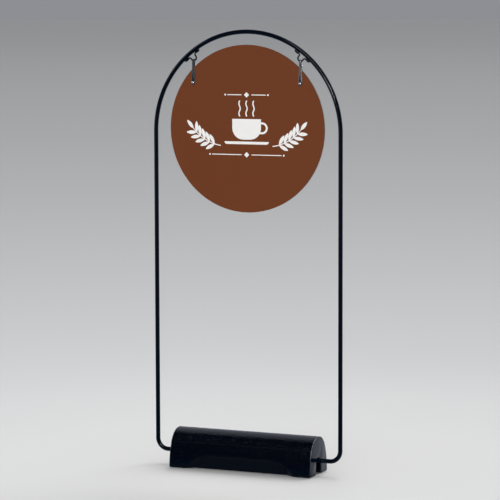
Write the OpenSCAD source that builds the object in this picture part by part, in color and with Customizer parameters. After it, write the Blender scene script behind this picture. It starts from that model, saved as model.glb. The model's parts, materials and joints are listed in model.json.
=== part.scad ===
// Freestanding hoop sign: a round panel hangs on two strap hangers inside a tall hoop,
// bent from one round bar, whose bottom bar is clamped under a long cast saddle base.
// X runs along the base, the front faces -Y, Z is up and the floor is Z = 0.
// All lengths are millimetres, and the left side is the viewer's left, at -X.

/* [Hoop] */
// Diameter of the round bar that the hoop is bent from
rod_d = 10; // [8:0.5:12]
// Distance between the centre lines of the two legs
leg_spacing = 450; // [430:5:520]
// Height of the hoop's top above the floor
stand_h = 993; // [850:5:1150]
// Centre-line radius of the two bends below the legs
bend_r = 25; // [18:1:26]
// Height of the bottom bar's centre line above the floor
bar_h = 32; // [28:1:38]
// Width of the weld that closes the hoop inside the base
bar_weld_l = 5; // [3:0.5:8]

/* [Base casting] */
// Length of the cast base
base_l = 345; // [320:5:370]
// Width of the cast base at its foot
base_w = 105; // [100:1:116]
// Height of the crown's top above the floor
base_h = 86.5; // [82:0.5:96]
// How much narrower the crown is than the foot, on each side
crown_inset = 8; // [6:0.5:11]
// Height of the seam bead along the flanks
seam_rise = 0.6; // [0.3:0.1:1]
// Thickness of each end wall
end_wall = 18; // [12:1:24]
// Width of the cored space between the end walls
cavity_w = 44; // [38:1:46]
// Thickness of metal between the cored space and the crown
crown_wall = 20; // [16:1:24]
// Width of the slot in the end walls, at the floor
slot_foot_w = 31; // [28:0.5:34]
// Width of the slot where its round roof begins
slot_w = 27; // [22:0.5:28]
// Space between the bottom bar and the slot's roof
slot_head_gap = 2.2; // [1:0.1:4]

/* [Finger recesses] */
// Length of each recess at the floor
recess_l = 266; // [220:2:280]
// Height of each recess above the base's underside
recess_h = 33; // [24:1:38]
// Depth of each recess at its foot
recess_depth = 14; // [8:1:16]
// How far each end of the recess leans in from foot to top
recess_lean = 20; // [10:1:30]
// How far each end of the recess rounds in at the top
recess_round = 43; // [20:1:50]
// How far the end walls of the recess run in towards its back
recess_flank = 18; // [8:1:24]

/* [Rubber feet] */
// Diameter of each rubber foot
foot_d = 18; // [12:1:22]
// Thickness of each rubber foot
foot_t = 3; // [2:0.5:5]
// Height at which the feet hold the casting off the floor
foot_stand = 1; // [0.5:0.1:1.5]
// Distance from the base's end to the centre of a foot
foot_inset = 19; // [15:1:24]

/* [Bar clamps] */
// Distance from the base's middle to the middle of each clamp
clamp_x = 100; // [70:5:120]
// Length of each clamp plate along the bar
clamp_l = 24; // [18:1:32]
// Thickness of each clamp plate
clamp_t = 4; // [3:0.5:5]
// Distance between the two screws of a clamp
clamp_screw_pitch = 27; // [26:0.5:29]
// Thread diameter of the clamp screws
clamp_screw_d = 6; // [5:0.5:6]
// Thread length of the clamp screws
clamp_screw_l = 18; // [16:1:24]
// Width across flats of the clamp screws' heads
clamp_head_af = 10; // [8:0.5:10]
// Height of the clamp screws' heads
clamp_head_h = 4; // [3:0.5:5]
// Outer diameter of the clamp washers
clamp_washer_d = 12; // [10:0.5:13]
// Thickness of the clamp washers
clamp_washer_t = 1.6; // [1:0.1:2]

/* [Eye loops] */
// Diameter of the loops' wire
loop_wire_d = 3.5; // [3:0.25:4]
// Angle of each loop from the top of the arch
loop_angle = 38; // [34:1:42]
// Centre-line radius of the loop's round end
loop_r = 6.5; // [6:0.25:8]
// Depth of the loop's round end below its feet, centre line to centre line
loop_depth = 12.5; // [11:0.5:16]
// Centre-line radius of the bends between the loop and its feet
loop_bend_r = 4; // [3:0.25:5]
// Distance from the loop's middle to the end of each foot
loop_reach = 19; // [17:0.5:24]
// Diameter of the weld bead round each foot
weld_d = 6.6; // [6:0.2:8]
// Length of the weld bead along each foot
weld_l = 5; // [4:0.5:6]

/* [Strap hangers] */
// Thickness of the steel strip
strap_t = 1; // [0.8:0.1:1.5]
// Width of the strip at its fold
strap_top_w = 5.2; // [4:0.2:5.6]
// Width of the strip at its round end
strap_end_w = 9.8; // [9:0.2:12]
// Distance from the fold's axis down to the screw
strap_drop = 50; // [44:1:60]
// Distance from the fold's axis down to where the two legs meet the panel
strap_throat = 11.5; // [9:0.5:12]

/* [Hanger screws] */
// Thread diameter of the hanger screws
screw_d = 5; // [4:0.5:5]
// Diameter of the pan head
head_d = 9.2; // [8:0.2:11]
// Height of the pan head
head_h = 3.3; // [2.8:0.1:4]
// Width of each bar of the head's cross recess
cross_w = 1.2; // [0.8:0.1:1.4]
// Span of the head's cross recess
cross_l = 5; // [4:0.2:5.6]
// Depth of the head's cross recess
cross_depth = 1.8; // [1:0.1:2.2]
// Outer diameter of the rear washers
washer_d = 10; // [9:0.5:14]
// Thickness of the rear washers
washer_t = 1; // [0.8:0.1:1.6]
// Width across flats of the cap nuts
cap_af = 8; // [7.5:0.5:10]
// Height of the cap nuts' six-sided part
cap_hex_h = 4.5; // [4:0.5:6]
// Radius of the cap nuts' dome
cap_dome_r = 3.8; // [3.4:0.1:3.9]

/* [Panel] */
// Diameter of the round panel
panel_d = 375; // [360:1:385]
// Thickness of the panel board with its two metal skins
panel_t = 3; // [2.5:0.5:5]
// Thickness of each metal skin
skin_t = 0.3; // [0.2:0.1:0.5]
// Thickness of the printed film on each face
film_t = 0.15; // [0.1:0.05:0.3]
// Distance from the panel's edge in to the centre of each hole
hole_inset = 22.5; // [18:0.5:28]

/* [Hidden] */
// Room left round fixed pieces that seat on each other
seat_gap = 0.1;
// Room between the strip's fold and the wire, at the strip's edges
swing_gap = 0.35;
// Room left round a screw in a clearance hole
screw_room = 0.2;
// Space closed up when a clamp is tightened on the bar
clamp_draw = 1.1;
// Room left each side of a clamp plate in the cored space
clamp_side_gap = 1;
// How far every cut runs past the face that it opens
over = 2;
// How far the closing weld stands proud of the bar
bar_weld_rise = 0.8;
// Radius of the bead drawn along the seam
seam_r = 1.2;
// Depth by which each foot's bead is set back from the foot's end
weld_setback = 1.5;
// Number of levels from which a recess is lofted
recess_levels = 9;
// Thickness of one level of that loft
level_t = 0.2;
// Depth left in the cap nut's dome above the thread
cap_end_t = 2;
// Depth of a tapped hole past the screw's end
tap_run = 3;

rod_r = rod_d / 2;
leg_x = leg_spacing / 2;
arch_r = leg_x;
arch_z = stand_h - rod_r - arch_r;
bend_z = bar_h + bend_r;

casting_h = base_h - foot_stand;
half_w = base_w / 2;
crown_r = half_w - crown_inset;
crown_z = casting_h - crown_r;
flank_r = (pow(half_w, 2) + pow(crown_z, 2) - pow(crown_r, 2)) / (2 * (half_w - crown_r));
flank_y = flank_r - half_w;
seam_angle = atan2(crown_z, flank_y);
seam_y = crown_r * cos(seam_angle);
seam_z = crown_z + crown_r * sin(seam_angle);
cavity_l = base_l - 2 * end_wall;
cavity_spring = casting_h - crown_wall - cavity_w / 2;
bar_z = bar_h - foot_stand;
slot_spring = bar_z + rod_r + slot_head_gap - slot_w / 2;
clamp_top = bar_z - rod_r - seat_gap;
rib_foot = clamp_top + clamp_draw;
tap_depth = clamp_screw_l - clamp_t - clamp_washer_t - clamp_draw + tap_run;
foot_x = base_l / 2 - foot_inset;
foot_y = (cavity_w / 2 + half_w) / 2;

loop_half_angle = 2 * atan2(loop_reach, arch_r - rod_r);
loop_line = sqrt(pow(arch_r - rod_r - seat_gap - loop_wire_d / 2, 2) - pow(loop_reach, 2));
loop_centre = loop_line - loop_depth + loop_r;
pivot_x = loop_centre * sin(loop_angle);
pivot_z = arch_z + loop_centre * cos(loop_angle) - loop_r;

wire_rise = loop_r - sqrt(pow(loop_r, 2) - pow(strap_top_w / 2, 2));
eye_r = loop_wire_d / 2 + wire_rise + swing_gap;
sign_t = panel_t + 2 * film_t;
core_t = panel_t - 2 * skin_t;
panel_r = panel_d / 2;
hole_ring = panel_r - hole_inset;
screw_z = pivot_z - strap_drop;
panel_z = screw_z - sqrt(pow(hole_ring, 2) - pow(pivot_x, 2));
grip_t = sign_t + 2 * strap_t;
head_ball_r = (pow(head_d / 2, 2) + pow(head_h, 2)) / (2 * head_h);
cap_h = cap_hex_h + cap_dome_r;
screw_l = grip_t + washer_t + cap_h - cap_end_t;

steel_black = [0.09, 0.10, 0.11];
iron_black = [0.06, 0.07, 0.08];
bright_steel = [0.72, 0.73, 0.75];
rubber_black = [0.05, 0.05, 0.05];
board_grey = [0.30, 0.30, 0.32];
print_brown = [0.43, 0.24, 0.15];

// Helpers

// A round bar of the given length along X, centred on the origin
module bar_x(d, l) {
    rotate([0, 90, 0]) cylinder(d = d, h = l, center = true, $fn = 48);
}

// A round bar of the given length along +Y from the origin
module bar_y(d, l) {
    rotate([-90, 0, 0]) cylinder(d = d, h = l, $fn = 48);
}

// A bent stretch of bar in the XZ plane, from angle a1 to a2 above +X
module bend_xz(r, d, a1, a2) {
    rotate([90, 0, 0]) rotate([0, 0, a1])
        rotate_extrude(angle = a2 - a1, $fn = 96) translate([r, 0]) circle(d = d, $fn = 32);
}

// Turns an outline drawn in Y and Z into a solid of the given length along X
module along_x(l) {
    rotate([90, 0, 90]) translate([0, 0, -l / 2]) linear_extrude(l) children();
}

// Turns an outline drawn in X and Z into a solid of the given depth along Y
module along_y(l) {
    rotate([90, 0, 0]) translate([0, 0, -l / 2]) linear_extrude(l) children();
}

// Base casting

// Outer form in the end view: a crown arc that runs into two flatter flank arcs
module base_outline() {
    union() {
        intersection() {
            translate([flank_y, 0]) circle(r = flank_r, $fn = 128);
            translate([-flank_y, 0]) circle(r = flank_r, $fn = 128);
            translate([-base_w, 0]) square([2 * base_w, seam_z]);
        }
        intersection() {
            translate([0, crown_z]) circle(r = crown_r, $fn = 128);
            translate([-base_w, seam_z - over]) square([2 * base_w, base_h]);
        }
    }
}

// The cored space between the end walls, with a round roof
module cavity_outline() {
    union() {
        translate([0, cavity_spring]) circle(d = cavity_w, $fn = 64);
        translate([-cavity_w / 2, -over]) square([cavity_w, cavity_spring + over]);
    }
}

// The slot that lets the bottom bar out through the end walls, wider at the floor
module slot_outline() {
    union() {
        translate([0, slot_spring]) circle(d = slot_w, $fn = 64);
        polygon([[-slot_w / 2, slot_spring], [slot_w / 2, slot_spring],
                 [slot_foot_w / 2, 0], [slot_foot_w / 2, -over],
                 [-slot_foot_w / 2, -over], [-slot_foot_w / 2, 0]]);
    }
}

// One finger recess in the front flank, lofted from levels that narrow and grow shallow upwards
module finger_recess() {
    hull() for (i = [0 : recess_levels - 1]) {
        a = 90 * i / (recess_levels - 1);
        half = recess_l / 2 - recess_lean * sin(a) - recess_round * (1 - cos(a));
        back = half - recess_flank * cos(a);
        level = recess_h * sin(a);
        face = flank_y - sqrt(pow(flank_r, 2) - pow(level, 2));
        depth = face + recess_depth * cos(a);
        translate([0, 0, level]) linear_extrude(level_t)
            polygon([[-half, face - over], [half, face - over], [half, face], [back, depth],
                     [-back, depth], [-half, face]]);
    }
    translate([-recess_l / 2, -half_w - over, -over])
        linear_extrude(over + level_t)
            polygon([[0, 0], [recess_l, 0], [recess_l, over], [recess_l - recess_flank, over + recess_depth],
                     [recess_flank, over + recess_depth], [0, over]]);
}

// A cross rib inside the casting, with a saddle for the bar and two tapped holes
module clamp_rib() {
    difference() {
        translate([-clamp_l / 2, -cavity_w / 2 - over, rib_foot])
            cube([clamp_l, cavity_w + 2 * over, cavity_spring + cavity_w / 2 - rib_foot + over]);
        translate([0, 0, bar_z]) bar_x(rod_d + 2 * seat_gap, clamp_l + 2 * over);
        translate([-clamp_l / 2 - over, -rod_r - seat_gap, rib_foot - over])
            cube([clamp_l + 2 * over, rod_d + 2 * seat_gap, bar_z - rib_foot + over]);
        for (side = [-1, 1]) translate([0, side * clamp_screw_pitch / 2, rib_foot - over])
            cylinder(d = clamp_screw_d + 2 * seat_gap, h = over + tap_depth, $fn = 48);
    }
}

// The long cast weight: crowned saddle, cored below, slotted at both ends
module base_casting() {
    color(iron_black) translate([0, 0, foot_stand]) {
        difference() {
            union() {
                along_x(base_l) base_outline();
                for (side = [-1, 1])
                    translate([0, side * (seam_y + seam_rise - seam_r), seam_z])
                        bar_x(2 * seam_r, base_l);
            }
            along_x(cavity_l) cavity_outline();
            along_x(base_l + 2 * over) slot_outline();
            finger_recess();
            mirror([0, 1, 0]) finger_recess();
            for (x = [-foot_x, foot_x], y = [-foot_y, foot_y]) translate([x, y, -over])
                cylinder(d = foot_d + 2 * seat_gap, h = foot_t - foot_stand + over, $fn = 48);
        }
        for (x = [-clamp_x, clamp_x]) translate([x, 0, 0]) clamp_rib();
    }
}

// Four rubber pads let into the casting's underside
module base_feet() {
    color(rubber_black)
        for (x = [-foot_x, foot_x], y = [-foot_y, foot_y]) translate([x, y, 0])
            cylinder(d = foot_d, h = foot_t, $fn = 48);
}

// Bar clamps

// Flat plate that holds the bar up in its saddle
module bar_clamp(x) {
    color(bright_steel) translate([x, 0, foot_stand + clamp_top - clamp_t]) difference() {
        translate([-clamp_l / 2, -cavity_w / 2 + clamp_side_gap, 0])
            cube([clamp_l, cavity_w - 2 * clamp_side_gap, clamp_t]);
        for (side = [-1, 1]) translate([0, side * clamp_screw_pitch / 2, -over])
            cylinder(d = clamp_screw_d + 2 * screw_room, h = clamp_t + 2 * over, $fn = 48);
    }
}

module left_bar_clamp() { bar_clamp(-clamp_x); }
module right_bar_clamp() { bar_clamp(clamp_x); }

// The two washers under one clamp's screw heads
module clamp_washers(x) {
    color(bright_steel)
        for (side = [-1, 1])
            translate([x, side * clamp_screw_pitch / 2, foot_stand + clamp_top - clamp_t - clamp_washer_t])
                difference() {
                    cylinder(d = clamp_washer_d, h = clamp_washer_t, $fn = 48);
                    translate([0, 0, -over])
                        cylinder(d = clamp_screw_d + 2 * screw_room, h = clamp_washer_t + 2 * over, $fn = 48);
                }
}

module left_clamp_washers() { clamp_washers(-clamp_x); }
module right_clamp_washers() { clamp_washers(clamp_x); }

// The two six-sided screws of one clamp
module clamp_screws(x) {
    head_z = foot_stand + clamp_top - clamp_t - clamp_washer_t - clamp_head_h;
    color(bright_steel)
        for (side = [-1, 1]) translate([x, side * clamp_screw_pitch / 2, head_z]) {
            cylinder(d = clamp_head_af / cos(30), h = clamp_head_h, $fn = 6);
            translate([0, 0, clamp_head_h]) cylinder(d = clamp_screw_d, h = clamp_screw_l, $fn = 48);
        }
}

module left_clamp_screws() { clamp_screws(-clamp_x); }
module right_clamp_screws() { clamp_screws(clamp_x); }

// Hoop

// One bar bent to an arch, two legs and a bottom bar, closed by a weld inside the base
module hoop_frame() {
    color(steel_black) {
        translate([0, 0, arch_z]) bend_xz(arch_r, rod_d, 0, 180);
        for (side = [-1, 1]) translate([side * leg_x, 0, bend_z])
            cylinder(d = rod_d, h = arch_z - bend_z, $fn = 48);
        translate([leg_x - bend_r, 0, bend_z]) bend_xz(bend_r, rod_d, -90, 0);
        translate([-leg_x + bend_r, 0, bend_z]) bend_xz(bend_r, rod_d, 180, 270);
        translate([0, 0, bar_h]) {
            bar_x(rod_d, leg_spacing - 2 * bend_r);
            bar_x(rod_d + 2 * bar_weld_rise, bar_weld_l);
        }
    }
}

// Eye loops

// One wire loop drawn with its feet along X and its round end down, the feet's line at Z = 0
module loop_wire() {
    for (side = [-1, 1]) {
        translate([side * (loop_r + loop_bend_r), 0, 0]) rotate([0, side * 90, 0])
            cylinder(d = loop_wire_d, h = loop_reach - loop_r - loop_bend_r, $fn = 32);
        translate([side * loop_r, 0, loop_r - loop_depth])
            cylinder(d = loop_wire_d, h = loop_depth - loop_r - loop_bend_r, $fn = 32);
    }
    translate([loop_r + loop_bend_r, 0, -loop_bend_r]) bend_xz(loop_bend_r, loop_wire_d, 90, 180);
    translate([-loop_r - loop_bend_r, 0, -loop_bend_r]) bend_xz(loop_bend_r, loop_wire_d, 0, 90);
    translate([0, 0, loop_r - loop_depth]) bend_xz(loop_r, loop_wire_d, 180, 360);
}

// The two weld beads that join the feet to the arch
module loop_welds() {
    for (side = [-1, 1]) {
        start = loop_reach - weld_setback - weld_l;
        translate([side * start, 0, 0]) sphere(d = weld_d, $fn = 32);
        translate([side * start, 0, 0]) rotate([0, side * 90, 0])
            cylinder(d = weld_d, h = weld_l, $fn = 32);
        translate([side * (start + weld_l), 0, 0]) sphere(d = weld_d, $fn = 32);
    }
}

// A loop in its place under the arch, on the given side
module eye_loop(side) {
    color(steel_black) translate([0, 0, arch_z]) difference() {
        rotate([0, side * loop_angle, 0]) translate([0, 0, loop_line]) {
            loop_wire();
            loop_welds();
        }
        bend_xz(arch_r, rod_d + 2 * seat_gap, 90 - side * loop_angle - loop_half_angle,
                90 - side * loop_angle + loop_half_angle);
    }
}

module left_eye_loop() { eye_loop(-1); }
module right_eye_loop() { eye_loop(1); }

// Strap hangers

// Side view of the strip's two legs, which run in from the fold and then lie flat on the panel
module strap_legs(grip, fold) {
    leg_end = strap_drop + strap_end_w;
    polygon([[-fold, 0], [fold, 0], [grip, -strap_throat], [grip, -leg_end],
             [-grip, -leg_end], [-grip, -strap_throat]]);
}

// Front view of the strip: it widens downwards to a round end about the screw
module strap_front() {
    top = eye_r + strap_t + over;
    end_r = strap_end_w / 2;
    round_end = [for (a = [0 : 15 : 180]) [end_r * cos(a), -strap_drop - end_r * sin(a)]];
    polygon(concat([[-strap_top_w / 2, 0], [-strap_top_w / 2, top], [strap_top_w / 2, top],
                    [strap_top_w / 2, 0]], round_end));
}

// A strip folded over its loop, gripping the panel front and rear
module strap_hanger(side) {
    color(bright_steel) translate([side * pivot_x, 0, pivot_z]) intersection() {
        difference() {
            union() {
                bar_x(2 * (eye_r + strap_t), 2 * strap_end_w);
                along_x(2 * strap_end_w) strap_legs(sign_t / 2 + strap_t, eye_r + strap_t);
            }
            bar_x(2 * eye_r, 2 * strap_end_w + over);
            along_x(2 * strap_end_w + over) strap_legs(sign_t / 2, eye_r);
            translate([0, -grip_t, -strap_drop]) bar_y(screw_d + 2 * screw_room, 2 * grip_t);
        }
        along_y(2 * (eye_r + strap_t + over)) strap_front();
    }
}

module left_strap_hanger() { strap_hanger(-1); }
module right_strap_hanger() { strap_hanger(1); }

// Hanger screws

// Pan head in front, thread through strip, panel and washer into the cap nut
module hanger_screw(side) {
    color(bright_steel) translate([side * pivot_x, -grip_t / 2, screw_z]) {
        difference() {
            intersection() {
                translate([0, head_ball_r - head_h, 0]) sphere(r = head_ball_r, $fn = 64);
                translate([0, -head_h - over, 0]) bar_y(head_d, head_h + over);
            }
            for (turn = [0, 90]) rotate([0, turn, 0])
                translate([-cross_l / 2, -head_h - over, -cross_w / 2])
                    cube([cross_l, over + cross_depth, cross_w]);
        }
        bar_y(screw_d, screw_l);
    }
}

module left_hanger_screw() { hanger_screw(-1); }
module right_hanger_screw() { hanger_screw(1); }

// Plain washer behind the rear leg of the strip
module rear_washer(side) {
    color(bright_steel) translate([side * pivot_x, grip_t / 2, screw_z]) difference() {
        bar_y(washer_d, washer_t);
        translate([0, -over, 0]) bar_y(screw_d + 2 * screw_room, washer_t + 2 * over);
    }
}

module left_rear_washer() { rear_washer(-1); }
module right_rear_washer() { rear_washer(1); }

// Domed cap nut with a blind thread
module cap_nut(side) {
    color(bright_steel) translate([side * pivot_x, grip_t / 2 + washer_t, screw_z]) difference() {
        union() {
            rotate([-90, 0, 0]) cylinder(d = cap_af / cos(30), h = cap_hex_h, $fn = 6);
            translate([0, cap_hex_h, 0]) sphere(r = cap_dome_r, $fn = 64);
        }
        translate([0, -over, 0]) bar_y(screw_d + 2 * seat_gap, over + cap_h - cap_end_t + seat_gap);
    }
}

module left_cap_nut() { cap_nut(-1); }
module right_cap_nut() { cap_nut(1); }

// Panel

// One round layer of the panel from front face y0 to rear face y1, with its two holes
module panel_layer(y0, y1) {
    difference() {
        translate([0, y0, panel_z]) rotate([-90, 0, 0]) cylinder(r = panel_r, h = y1 - y0, $fn = 160);
        for (side = [-1, 1]) translate([side * pivot_x, y0 - over, screw_z])
            bar_y(screw_d + 2 * screw_room, y1 - y0 + 2 * over);
    }
}

module panel_core() {
    color(board_grey) panel_layer(-core_t / 2, core_t / 2);
}

module panel_front_skin() {
    color(bright_steel) panel_layer(-panel_t / 2, -core_t / 2);
}

module panel_rear_skin() {
    color(bright_steel) panel_layer(core_t / 2, panel_t / 2);
}

module front_print_film() {
    color(print_brown) panel_layer(-sign_t / 2, -panel_t / 2);
}

module rear_print_film() {
    color(print_brown) panel_layer(panel_t / 2, sign_t / 2);
}

base_casting();
base_feet();
left_bar_clamp();
right_bar_clamp();
left_clamp_washers();
right_clamp_washers();
left_clamp_screws();
right_clamp_screws();
hoop_frame();
left_eye_loop();
right_eye_loop();
left_strap_hanger();
right_strap_hanger();
left_hanger_screw();
right_hanger_screw();
left_rear_washer();
right_rear_washer();
left_cap_nut();
right_cap_nut();
panel_core();
panel_front_skin();
panel_rear_skin();
front_print_film();
rear_print_film();
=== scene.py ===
import json
import math
import bmesh
import bpy
from mathutils import Matrix, Quaternion, Vector


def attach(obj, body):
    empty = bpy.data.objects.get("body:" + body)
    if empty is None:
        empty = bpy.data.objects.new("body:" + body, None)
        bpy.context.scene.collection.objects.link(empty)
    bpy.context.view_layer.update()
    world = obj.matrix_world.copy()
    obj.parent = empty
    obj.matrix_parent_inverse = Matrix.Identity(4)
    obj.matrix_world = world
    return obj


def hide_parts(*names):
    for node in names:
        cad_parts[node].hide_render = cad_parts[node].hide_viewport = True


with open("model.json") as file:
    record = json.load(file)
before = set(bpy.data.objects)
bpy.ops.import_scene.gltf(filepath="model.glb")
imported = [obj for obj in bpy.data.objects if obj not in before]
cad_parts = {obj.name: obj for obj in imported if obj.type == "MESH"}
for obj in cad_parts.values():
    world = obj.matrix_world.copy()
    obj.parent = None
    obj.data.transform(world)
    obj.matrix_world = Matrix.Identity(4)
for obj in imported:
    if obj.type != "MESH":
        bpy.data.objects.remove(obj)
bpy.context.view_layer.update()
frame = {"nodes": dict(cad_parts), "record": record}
nodes = frame["nodes"]
mm = 0.001


# The photograph's camera, worked out from the hoop and the base
photoCamera = {
    "azimuth": 23.533,  # degrees to the right of the sign's front
    "elevation": 5.817,
    "roll": -0.159,
    "distance": 5.3921,
    "target": (0.0068, 0, 0.4995),
    "lens": 172.8,
}


def headingOf(azimuth, elevation):
    azimuth, elevation = math.radians(azimuth), math.radians(elevation)
    return Vector((math.sin(azimuth) * math.cos(elevation),
                   -math.cos(azimuth) * math.cos(elevation), math.sin(elevation)))


def placeCamera(view):
    back = headingOf(view["azimuth"], view["elevation"])
    bpy.ops.object.camera_add(location=Vector(view["target"]) + back * view["distance"])
    camera = bpy.context.object
    camera.name = "photoCamera"
    camera.rotation_mode = "QUATERNION"
    turn = Quaternion((0, 0, 1), math.radians(view["roll"]))
    camera.rotation_quaternion = (-back).to_track_quat("-Z", "Y") @ turn
    camera.data.lens = view["lens"]
    camera.data.clip_end = 400
    bpy.context.scene.camera = camera


placeCamera(photoCamera)
print("camera placed")


# Shader building: a value in a material, and the nodes that make it

class Value:
    def __init__(self, finish, socket):
        self.finish, self.socket = finish, socket

    def maths(self, operation, *others):
        return self.finish.add("ShaderNodeMath", {"operation": operation},
                               {i: v for i, v in enumerate((self,) + others)})

    def __add__(self, other): return self.maths("ADD", other)
    def __sub__(self, other): return self.maths("SUBTRACT", other)
    def __mul__(self, other): return self.maths("MULTIPLY", other)
    def __radd__(self, other): return self.maths("ADD", other)
    def __rmul__(self, other): return self.maths("MULTIPLY", other)
    def __rsub__(self, other): return self.maths("MULTIPLY", -1).maths("ADD", other)
    def __abs__(self): return self.maths("ABSOLUTE")
    def smooth(self, low, high): return self.finish.smooth(self, low, high)


class Finish:
    def __init__(self, owner):
        self.material = owner
        owner.use_nodes = True
        self.tree = owner.node_tree
        self.tree.nodes.clear()

    def add(self, kind, settings=None, inputs=None, output=0):
        node = self.tree.nodes.new(kind)
        for key, setting in (settings or {}).items():
            if key == "stops":
                ramp = node.color_ramp
                while len(ramp.elements) > 1:
                    ramp.elements.remove(ramp.elements[-1])
                ramp.elements[0].position, ramp.elements[0].color = setting[0]
                for position, colour in setting[1:]:
                    ramp.elements.new(position).color = colour
            else:
                setattr(node, key, setting)
        for key, value in (inputs or {}).items():
            if isinstance(value, Value):
                self.tree.links.new(value.socket, node.inputs[key])
            else:
                node.inputs[key].default_value = value
        return Value(self, node.outputs[output]) if len(node.outputs) else None

    def place(self):
        return self.add("ShaderNodeTexCoord", output="Object")

    def axis(self, letter):
        return self.add("ShaderNodeSeparateXYZ", None, {0: self.place()}, output=letter)

    def noise(self, scale, detail, rough, stretch=None):
        where = self.place()
        if stretch:
            where = self.add("ShaderNodeMapping", None, {"Vector": where, "Scale": stretch})
        return self.add("ShaderNodeTexNoise", None,
                        {"Vector": where, "Scale": scale, "Detail": detail, "Roughness": rough})

    def smooth(self, value, low, high):
        return self.add("ShaderNodeMapRange", {"interpolation_type": "SMOOTHSTEP"},
                        {"Value": value, "From Min": low, "From Max": high})

    def mix(self, share, first, second):
        return self.add("ShaderNodeMix", {"data_type": "RGBA"},
                        {"Factor": share, 6: first, 7: second}, output=2)

    def bump(self, height, distance):
        return self.add("ShaderNodeBump", None,
                        {"Height": height, "Distance": distance, "Strength": 1.0})

    def surface(self, **sockets):
        names = {"colour": "Base Color", "roughness": "Roughness", "metallic": "Metallic",
                 "normal": "Normal", "ior": "IOR", "specular": "Specular IOR Level"}
        shader = self.add("ShaderNodeBsdfPrincipled", None,
                          {names[k]: v for k, v in sockets.items()})
        self.add("ShaderNodeOutputMaterial", None, {"Surface": shader})
        return self.material


# Finishes. A noise is its scale, its detail, its roughness and how it is stretched

castPaintLook = {
    "colour": (0.0003, 0.0012, 0.0050, 1),
    "endColour": (0.0008, 0.0042, 0.0115, 1),
    "rimPatchColour": (0.22, 0.23, 0.24, 1),  # light grey patches on the end rims
    "halfLength": 172.5 * mm,
    "endMask": (0.12 * mm, 0.04 * mm),  # from the ends, where the ground face begins
    "rim": (1.6 * mm, 0.6 * mm),
    "rimPatchHeights": (30 * mm, 58 * mm),
    "rimPatches": (240, 2, 0.6),
    "rimPatchEdge": (0.38, 0.52),
    "pits": (225, 1.5, 0.5),
    "swell": (110, 2, 0.5),
    "fine": (1500, 2, 0.5),
    "waves": (60, 1, 0.4, (1, 1, 0.12)),
    "depth": 0.85 * mm,
    "roughness": (0.12, 0.12),  # the lowest, and what the swell adds
    "endRoughness": 0.10,
    "rimPatchRoughness": 0.2,
}


def castPaint(look):
    finish = Finish(bpy.data.materials.new("castPaint"))
    along, half = abs(finish.axis("X")), look["halfLength"]
    endMask = along.smooth(*(half - inset for inset in look["endMask"]))
    rim = along.smooth(*(half - inset for inset in look["rim"])) * (1 - endMask)
    # light grey patches in a band along the end rims, 30 to 58 mm up, broken up by noise
    rimPatches = rim * finish.axis("Z").smooth(*look["rimPatchHeights"])
    rimPatches = rimPatches * finish.noise(*look["rimPatches"]).smooth(*look["rimPatchEdge"])
    fine = finish.noise(*look["fine"])
    skinHeight = (finish.noise(*look["pits"]) + fine * 0.05) * (1 - endMask)
    endHeight = (finish.noise(*look["waves"]) + fine * 0.03) * endMask
    lowest, spread = look["roughness"]
    skinRoughness = (lowest + finish.noise(*look["swell"]) * spread) * (1 - endMask)
    colour = finish.mix(endMask, look["colour"], look["endColour"])
    return finish.surface(
        colour=finish.mix(rimPatches, colour, look["rimPatchColour"]),
        roughness=skinRoughness + endMask * look["endRoughness"] + rimPatches * look["rimPatchRoughness"],
        normal=finish.bump(skinHeight + endHeight, look["depth"]),
        ior=1.5)


strapSteelLook = {
    "colours": ((0.18, 0.18, 0.19, 1), (0.56, 0.56, 0.57, 1)),
    "lines": (900, 2, 0.6, (1, 1, 0.03)),
    "lineDepth": 0.03 * mm,
    "cloud": (120, 2, 0.5),
    "crownPlace": 130.1 * mm,  # from the sign's middle
    "crownHalf": 4.9 * mm,
    "crownRise": 0.22 * mm,
    "roughness": (0.16, 0.12),  # the lowest, and what the lines add
    "leftPaintedShade": 0.1,  # painted shade: the left strip is coloured the darker of the two, standing in for the darker room it reflects
}


def strapSteel(look):
    finish = Finish(bpy.data.materials.new("strapSteel"))
    lines, cloud = finish.noise(*look["lines"]), finish.noise(*look["cloud"])
    # painted shade: the strap on the left gets a darker colour than the one on the right
    sideShade = finish.axis("X").smooth(-20 * mm, 20 * mm) * (1 - look["leftPaintedShade"]) + look["leftPaintedShade"]
    across = abs(finish.axis("X")) - look["crownPlace"]  # both are slightly crowned
    crown = across * across * (-look["crownRise"] / look["crownHalf"] ** 2)
    lowest, spread = look["roughness"]
    return finish.surface(
        colour=finish.mix(cloud * sideShade, *look["colours"]),
        metallic=1.0,
        roughness=lowest + lines * spread,
        normal=finish.bump(crown + lines * look["lineDepth"], 1.0))


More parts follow.
